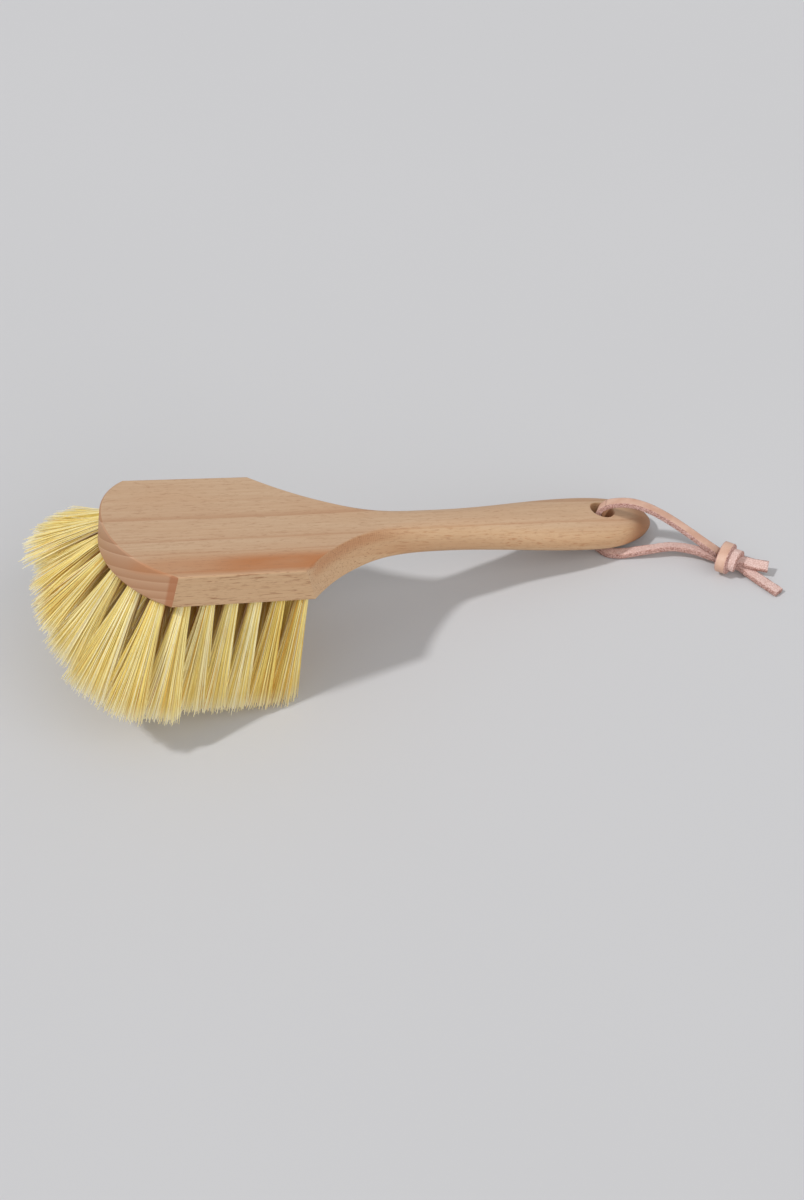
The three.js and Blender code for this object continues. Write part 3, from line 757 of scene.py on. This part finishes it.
def section_side(station):
    """One side of a section, from the top to the underside: an eased board blended into an oval."""
    top_x, bottom_x, top_y, bottom_y, oval_half, way_out, oval = station
    top = BOARD_THICKNESS - (BOARD_THICKNESS - END_TIP_HEIGHT) * end_rounding(top_x, END_ROUND_TOP)
    bottom = END_TIP_HEIGHT * end_rounding(bottom_x, END_ROUND_BOTTOM)
    edge = eased_edge()
    wall_top, wall_bottom = top - edge[-1][1], bottom + edge[-1][1]
    profile = [(inset, top - drop) for inset, drop in edge]
    for step in range(1, WALL_POINTS + 1):
        profile.append((0, mix(wall_top, wall_bottom, step / (WALL_POINTS + 1))))
    profile += [(inset, bottom + drop) for inset, drop in reversed(edge)]
    middle = (len(profile) - 1) / 2
    steepest = math.radians(SECTION_TOP_ANGLE)
    points = []
    for number, (inset, board_z) in enumerate(profile):
        share = (top - board_z) / max(top - bottom, MERGE_DISTANCE)
        angle = steepest * (1 - number / middle)
        rise = (math.sin(abs(angle)) / math.sin(steepest)) ** (2 / OVAL_POWER)
        oval_y = oval_half * math.cos(angle) ** (2 / OVAL_POWER)
        oval_z = (top + bottom) / 2 + math.copysign(rise, angle) * (top - bottom) / 2
        y = mix(mix(top_y, bottom_y, share) - inset * way_out.y, oval_y, oval)
        x = mix(top_x, bottom_x, share) - inset * way_out.x * (1 - oval)
        points.append(Vector((x, max(y, LEAST_HALF_WIDTH), mix(board_z, oval_z, oval))))
    return points


def spun(profile, count):
    """A closed turned shape about the z axis, from radii and heights that start and end on the axis."""
    bm = bmesh.new()
    corners = [bm.verts.new((radius, 0, height)) for radius, height in profile]
    edges = [bm.edges.new(pair) for pair in zip(corners, corners[1:])]
    bmesh.ops.spin(
        bm, geom=corners + edges, cent=(0, 0, 0), axis=(0, 0, 1), angle=2 * math.pi, steps=count,
        use_merge=True,
    )
    bmesh.ops.remove_doubles(bm, verts=bm.verts, dist=MERGE_DISTANCE / 10)
    bmesh.ops.recalc_face_normals(bm, faces=bm.faces)
    return bm


def hanging_hole_profile():
    """The hanging hole's bore with rounded rims, opening out above and below the handle."""
    radius, rim = HANG_HOLE_DIAMETER / 2, HANG_HOLE_RIM
    lower, upper = [], []
    for step in range(EASE_STEPS + 1):
        turn = math.pi / 2 * step / EASE_STEPS
        out, depth = radius + rim * (1 - math.sin(turn)), rim * (1 - math.cos(turn))
        lower.append((out, depth))
        upper.append((out, BOARD_THICKNESS - depth))
    mouth = radius + rim + CUTTER_MARGIN
    below, above = -CUTTER_REACH, BOARD_THICKNESS + CUTTER_REACH
    start = [(0, below), (mouth, below), (mouth, 0)]
    end = [(mouth, BOARD_THICKNESS), (mouth, above), (0, above)]
    return start + lower + upper[::-1] + end


# Tufts stand at even steps round their row and fan out from the head's middle, most at the nose's corners

def row_loop(inset):
    """The underside's outline moved in by an inset, from the nose's tip round the near side and back."""
    bow, half_width = UNDERSIDE_BOW - inset, HALF_HEAD - inset
    centre_x = NOSE_UNDERCUT + UNDERSIDE_BOW
    nose_angle = math.asin(half_width / bow)
    corner = min(ROW_CORNER_RADIUS, half_width)
    corner_x, corner_y = HEAD_LENGTH + ROW_REAR_SHIFT - inset - corner, half_width - corner
    arcs = (
        (centre_x, 0, bow, math.pi, math.pi + nose_angle),
        (corner_x, -corner_y, corner, -math.pi / 2, 0),
        (corner_x, corner_y, corner, 0, math.pi / 2),
        (centre_x, 0, bow, math.pi - nose_angle, math.pi),
    )
    points = []
    for x, y, radius, start, end in arcs:
        for step in range(ROW_ARC_STEPS + 1):
            turn = mix(start, end, step / ROW_ARC_STEPS)
            points.append(Vector((x + radius * math.cos(turn), y + radius * math.sin(turn))))
    return points


def spaced(points, distances):
    """Points at given distances along a line of points."""
    found = []
    walked = 0
    wanted = list(distances)
    for a, b in zip(points, points[1:]):
        step = (b - a).length
        while wanted and wanted[0] <= walked + step:
            found.append(a.lerp(b, (wanted.pop(0) - walked) / step))
        walked += step
    return found


def row_tufts(inset, count):
    """Each tuft's root, way out, hole's axis, fibres' sweep, their reach, and the step to the next tip."""
    loop = row_loop(inset)
    around = sum((b - a).length for a, b in zip(loop, loop[1:]))
    tufts = []
    for root in spaced(loop, [around * (i + 0.5) / count for i in range(count)]):
        fan_start = FAR_FAN_FROM_NOSE if root.y > 0 else FAN_FROM_NOSE
        spine_x = clamp(root.x, fan_start, HEAD_LENGTH - FAN_FROM_REAR)
        way_out = Vector((root.x - spine_x, root.y, 0))
        fan = way_out.length / (HALF_HEAD - OUTER_ROW_INSET)
        way_out = way_out.normalized() if fan > 0 else Vector((1, 0, 0))
        forward = max(-way_out.x, 0)
        flare = fan * math.radians(SIDE_FLARE + (NOSE_FLARE - SIDE_FLARE) * forward)
        far_corner = forward * (2 - forward) * max(way_out.y, 0) ** 2
        sweep = flare + fan * math.radians(FAR_CORNER_SWEEP * far_corner)
        trim_share = math.sqrt(forward) * (1 - max(-way_out.y, 0)) ** 2
        reach = mix(BRISTLE_REACH, NOSE_REACH, trim_share)
        tufts.append((root.to_3d(), way_out, leaning(way_out, flare), leaning(way_out, sweep), reach))
    tips = [root + swept * reach for root, _, _, swept, reach in tufts]
    steps = [(tips[number] - tips[number - 1]).length for number in range(count)]
    return [(*tuft, max(steps[number], steps[number + 1 - count])) for number, tuft in enumerate(tufts)]


def leaning(way_out, lean):
    return way_out * math.sin(lean) - Vector((0, 0, math.cos(lean)))


# Each row's tufts, how many fibres a tuft has, and how deep inside the brush the row stands, which sets its
# painted shade
rows = {
    "outer": (row_tufts(OUTER_ROW_INSET, 22), 310, 0),
    "middle": (row_tufts(MIDDLE_ROW_INSET, 15), 230, 0.9),
    "inner": (row_tufts(INNER_ROW_INSET, 7), 160, 1),
}


def add_cutter(name, bm):
    mesh = bpy.data.meshes.new(name)
    bm.to_mesh(mesh)
    bm.free()
    cutter = bpy.data.objects.new(name, mesh)
    bpy.context.scene.collection.objects.link(cutter)
    return cutter


def tuft_hole_cutter():
    """Short drilled holes, one along each tuft."""
    bm = bmesh.new()
    for tufts, _, _ in rows.values():
        for root, _, axis, _, _, _ in tufts:
            turn = Vector((0, 0, -1)).rotation_difference(axis).to_matrix().to_4x4()
            place = board_to_floor @ Matrix.Translation(root) @ turn
            radius = TUFT_HOLE_DIAMETER / 2
            bmesh.ops.create_cone(
                bm, cap_ends=True, segments=TUFT_HOLE_SIDES, radius1=radius, radius2=radius,
                depth=TUFT_HOLE_CUT, matrix=place,
            )
    return add_cutter("tuft_holes", bm)


def beech_body():
    bm = bmesh.new()
    loops = []
    for station in body_stations():
        near = section_side(station)
        far = [Vector((point.x, -point.y, point.z)) for point in reversed(near)]
        loops.append(add_ring(bm, near + far)[1])
    for near, far in zip(loops, loops[1:]):
        bmesh.ops.bridge_loops(bm, edges=near + far)
    bmesh.ops.remove_doubles(bm, verts=bm.verts, dist=MERGE_DISTANCE)
    bmesh.ops.recalc_face_normals(bm, faces=bm.faces)
    bmesh.ops.transform(bm, matrix=board_to_floor, verts=bm.verts)
    body = finish_piece("beech", bm, (beech,), "brush")
    hole = spun(hanging_hole_profile(), HANG_HOLE_SIDES)
    hole_at = board_to_floor @ Matrix.Translation((HANG_HOLE_X, 0, 0))
    bmesh.ops.transform(hole, matrix=hole_at, verts=hole.verts)
    cutters = [add_cutter("hanging_hole", hole), tuft_hole_cutter()]
    for cutter in cutters:
        drilled = body.modifiers.new(cutter.name, "BOOLEAN")
        drilled.object = cutter
        drilled.operation = "DIFFERENCE"
        drilled.solver = "EXACT"
    shaped = bpy.data.meshes.new_from_object(body.evaluated_get(bpy.context.evaluated_depsgraph_get()))
    body.modifiers.clear()
    body.data = shaped
    for cutter in cutters:
        bpy.data.objects.remove(cutter)
    shaped.shade_smooth()
    shaped.set_sharp_from_angle(angle=CRISP_EDGE)
    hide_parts("beech_body")


beech_body()


# Fibres: sizes in millimetres, and shares of a fibre's length or of its tuft's spread

FIBRE_RADIUS = 0.17
FIBRE_POINTS = 4
ROOT_THICKNESS = 1.1
TIP_THICKNESS = 0.8
ROOT_RADIUS = 2.4
TIP_RADIUS = 5.2
TIP_OVERLAP = 0.64
TIP_SPREAD = (0.85, 1.08)
WIDEST_TIP = 21
UNEVEN_LENGTH = (-0.05, 0.02)
WANDER = 0.45
STRAY_WANDER = 2.2
STRAY_SHARE = 0.025
TURN_JITTER = 0.4
BEND_SHARE = 0.42
BEND_SPREAD = 0.2
BEND_WANDER = 0.3
IN_HOLE = 3
GOLDEN_TURN = math.pi * (3 - math.sqrt(5))

# Loose tufts are swept further than their holes point: they spread, droop, and are longer to the far side
LOOSE_OVERLAP = 0.5
LOOSE_DROOP = 5
LOOSE_STRETCH = 1.3
LOOSE_LEVEL = 0.6
LOOSE_TRIM = 0.13
LOOSE_SLANT = 0.14
LOOSE_FLATTEN = 0.85

# Shades: the tufts' and their fibres', and how soon a fibre counts as deep inside the brush, where brown shade is
# painted on it
TUFT_SHADE = 0.52
TUFT_SHADE_SPREAD = 0.08
FIBRE_SHADE_SPREAD = 0.25
DEPTH_SHARE = 1.1
DEPTH_START = 0.35


def fibre_line(chance, tuft, number, count):
    """One fibre's points, out of its hole and then the way it is swept, and how far out it is in its tuft."""
    root, way_out, axis, swept, reach, tip_step = tuft
    across = Vector((way_out.y, -way_out.x, 0))
    turn = number * GOLDEN_TURN + chance.uniform(-TURN_JITTER, TURN_JITTER)
    from_middle = math.sqrt((number + 0.5) / count)
    sideways = from_middle * math.cos(turn)
    outward = from_middle * math.sin(turn)
    spread = chance.uniform(*TIP_SPREAD)
    loose = (swept - axis).length
    tip_width = clamp(tip_step * (TIP_OVERLAP + LOOSE_OVERLAP * loose), TIP_RADIUS, WIDEST_TIP) * spread
    wander = STRAY_WANDER if chance.random() < STRAY_SHARE else WANDER
    start = root - axis * IN_HOLE + (across * sideways + across.cross(axis) * outward) * ROOT_RADIUS
    stretch = 0
    if way_out.y > 0:
        stretch = max(loose * LOOSE_STRETCH * (way_out.y ** 2 - LOOSE_LEVEL), -LOOSE_TRIM)
    stretch = min(stretch, -loose * way_out.x) - LOOSE_SLANT * loose * outward * way_out.x
    lift = outward * (1 - LOOSE_FLATTEN * loose) if outward > 0 else outward
    end = root + swept * (reach * (1 + stretch + chance.uniform(*UNEVEN_LENGTH)))
    end += across * (sideways * tip_width + chance.gauss(0, wander))
    rise = lift * TIP_RADIUS * spread - LOOSE_DROOP * loose + chance.gauss(0, wander)
    end += across.cross(swept) * rise
    bend = start + axis * IN_HOLE + swept * (reach * BEND_SHARE)
    bend += (end - root - swept * reach) * BEND_SPREAD + across * chance.gauss(0, BEND_WANDER)
    points = []
    for step in range(FIBRE_POINTS):
        share = step / (FIBRE_POINTS - 1)
        points.append(start.lerp(bend, share).lerp(bend.lerp(end, share), share))
    return points, outward


def trimmed(points):
    """Floor-frame points of a fibre, shortened where it would reach into the floor."""
    placed = [board_to_floor @ point for point in points]
    lowest = (FLOOR_GAP + FIBRE_RADIUS) * MM
    if placed[-1].z >= lowest:
        return placed
    share = (placed[0].z - lowest) / (placed[0].z - placed[-1].z)
    return [placed[0].lerp(point, share) for point in placed]


def close_ends(mesh):
    """Caps the open ends of the fibres."""
    bm = bmesh.new()
    bm.from_mesh(mesh)
    bmesh.ops.holes_fill(bm, edges=[edge for edge in bm.edges if edge.is_boundary], sides=4)
    bmesh.ops.recalc_face_normals(bm, faces=bm.faces)
    bm.to_mesh(mesh)
    bm.free()


def fibre_row(name, tufts, count, inside, seed):
    """A row's fibres, each a thin tapering rod, with its shade, depth and the run along it kept."""
    chance = random.Random(seed)
    curve = bpy.data.curves.new(name, "CURVE")
    curve.dimensions = "3D"
    curve.bevel_depth = FIBRE_RADIUS * MM
    curve.bevel_resolution = 0
    shades = []
    depths = []
    for tuft in tufts:
        tuft_shade = chance.gauss(TUFT_SHADE, TUFT_SHADE_SPREAD)
        for number in range(count):
            line, outward = fibre_line(chance, tuft, number, count)
            points = trimmed(line)
            depths.append(clamp(inside + DEPTH_SHARE * (DEPTH_START - outward), inside, 1))
            spline = curve.splines.new("POLY")
            spline.points.add(FIBRE_POINTS - 1)
            for step, point in enumerate(points):
                spline.points[step].co = (*point, 1)
                thickness = mix(ROOT_THICKNESS, TIP_THICKNESS, step / (FIBRE_POINTS - 1))
                spline.points[step].radius = thickness
            shades.append(clamp(chance.gauss(tuft_shade, FIBRE_SHADE_SPREAD), 0, 1))
    drawn = bpy.data.objects.new(name, curve)
    bpy.context.scene.collection.objects.link(drawn)
    mesh = bpy.data.meshes.new_from_object(drawn.evaluated_get(bpy.context.evaluated_depsgraph_get()))
    bpy.data.objects.remove(drawn)
    bpy.data.curves.remove(curve)
    close_ends(mesh)
    corners = len(mesh.vertices) // (len(shades) * FIBRE_POINTS)
    shade_kept = mesh.attributes.new("fibre_shade", "FLOAT", "POINT").data
    run_kept = mesh.attributes.new("fibre_run", "FLOAT", "POINT").data
    inside_kept = mesh.attributes.new("fibre_inside", "FLOAT", "POINT").data
    for number in range(len(mesh.vertices)):
        ring = number // corners
        shade_kept[number].value = shades[ring // FIBRE_POINTS]
        run_kept[number].value = (ring % FIBRE_POINTS) / (FIBRE_POINTS - 1)
        inside_kept[number].value = depths[ring // FIBRE_POINTS]
    mesh.shade_smooth()
    mesh.materials.clear()
    mesh.materials.append(fibre)
    piece = bpy.data.objects.new(name, mesh)
    bpy.context.scene.collection.objects.link(piece)
    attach(piece, "brush")
    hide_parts("tuft_row_" + name.split("_")[0])


for seed, (row, (tufts, count, inside)) in enumerate(rows.items()):
    fibre_row(row + "_fibres", tufts, count, inside, seed)

# Staples keep their solids and get their finish
for name, node in frame["nodes"].items():
    if name.startswith("staple"):
        node.data.materials.clear()
        node.data.materials.append(wire)


# Floor and light. A lamp has a strength, a spread in degrees and the way that it shines.

FLOOR_HALF_WIDTH = 4
ROOM_LIGHT = 0.44
LAMPS = {
    "key": (1.5, 4, (0.77, -0.05, -1)),
    "front": (1.2, 70, (-0.25, 0.9, -0.5)),
}


def add_floor():
    bm = bmesh.new()
    bmesh.ops.create_grid(bm, x_segments=8, y_segments=8, size=FLOOR_HALF_WIDTH)
    mesh = bpy.data.meshes.new("floor")
    bm.to_mesh(mesh)
    bm.free()
    mesh.materials.append(floor_finish())
    floor = bpy.data.objects.new("floor", mesh)
    bpy.context.scene.collection.objects.link(floor)


def add_light():
    """A key light from the left, a broad soft one from the front, and an even fill from the room."""
    for name, (energy, spread, way) in LAMPS.items():
        light = bpy.data.lights.new(name, "SUN")
        light.energy = energy
        light.angle = math.radians(spread)
        lamp = bpy.data.objects.new(name, light)
        lamp.rotation_mode = "QUATERNION"
        lamp.rotation_quaternion = Vector(way).to_track_quat("-Z", "Y")
        bpy.context.scene.collection.objects.link(lamp)
    world = bpy.data.worlds.new("room")
    world.use_nodes = True
    room = world.node_tree.nodes["Background"]
    room.inputs["Color"].default_value = (1, 1, 1, 1)
    room.inputs["Strength"].default_value = ROOM_LIGHT
    bpy.context.scene.world = world


add_floor()
add_light()
bpy.context.scene.view_settings.view_transform = "Standard"
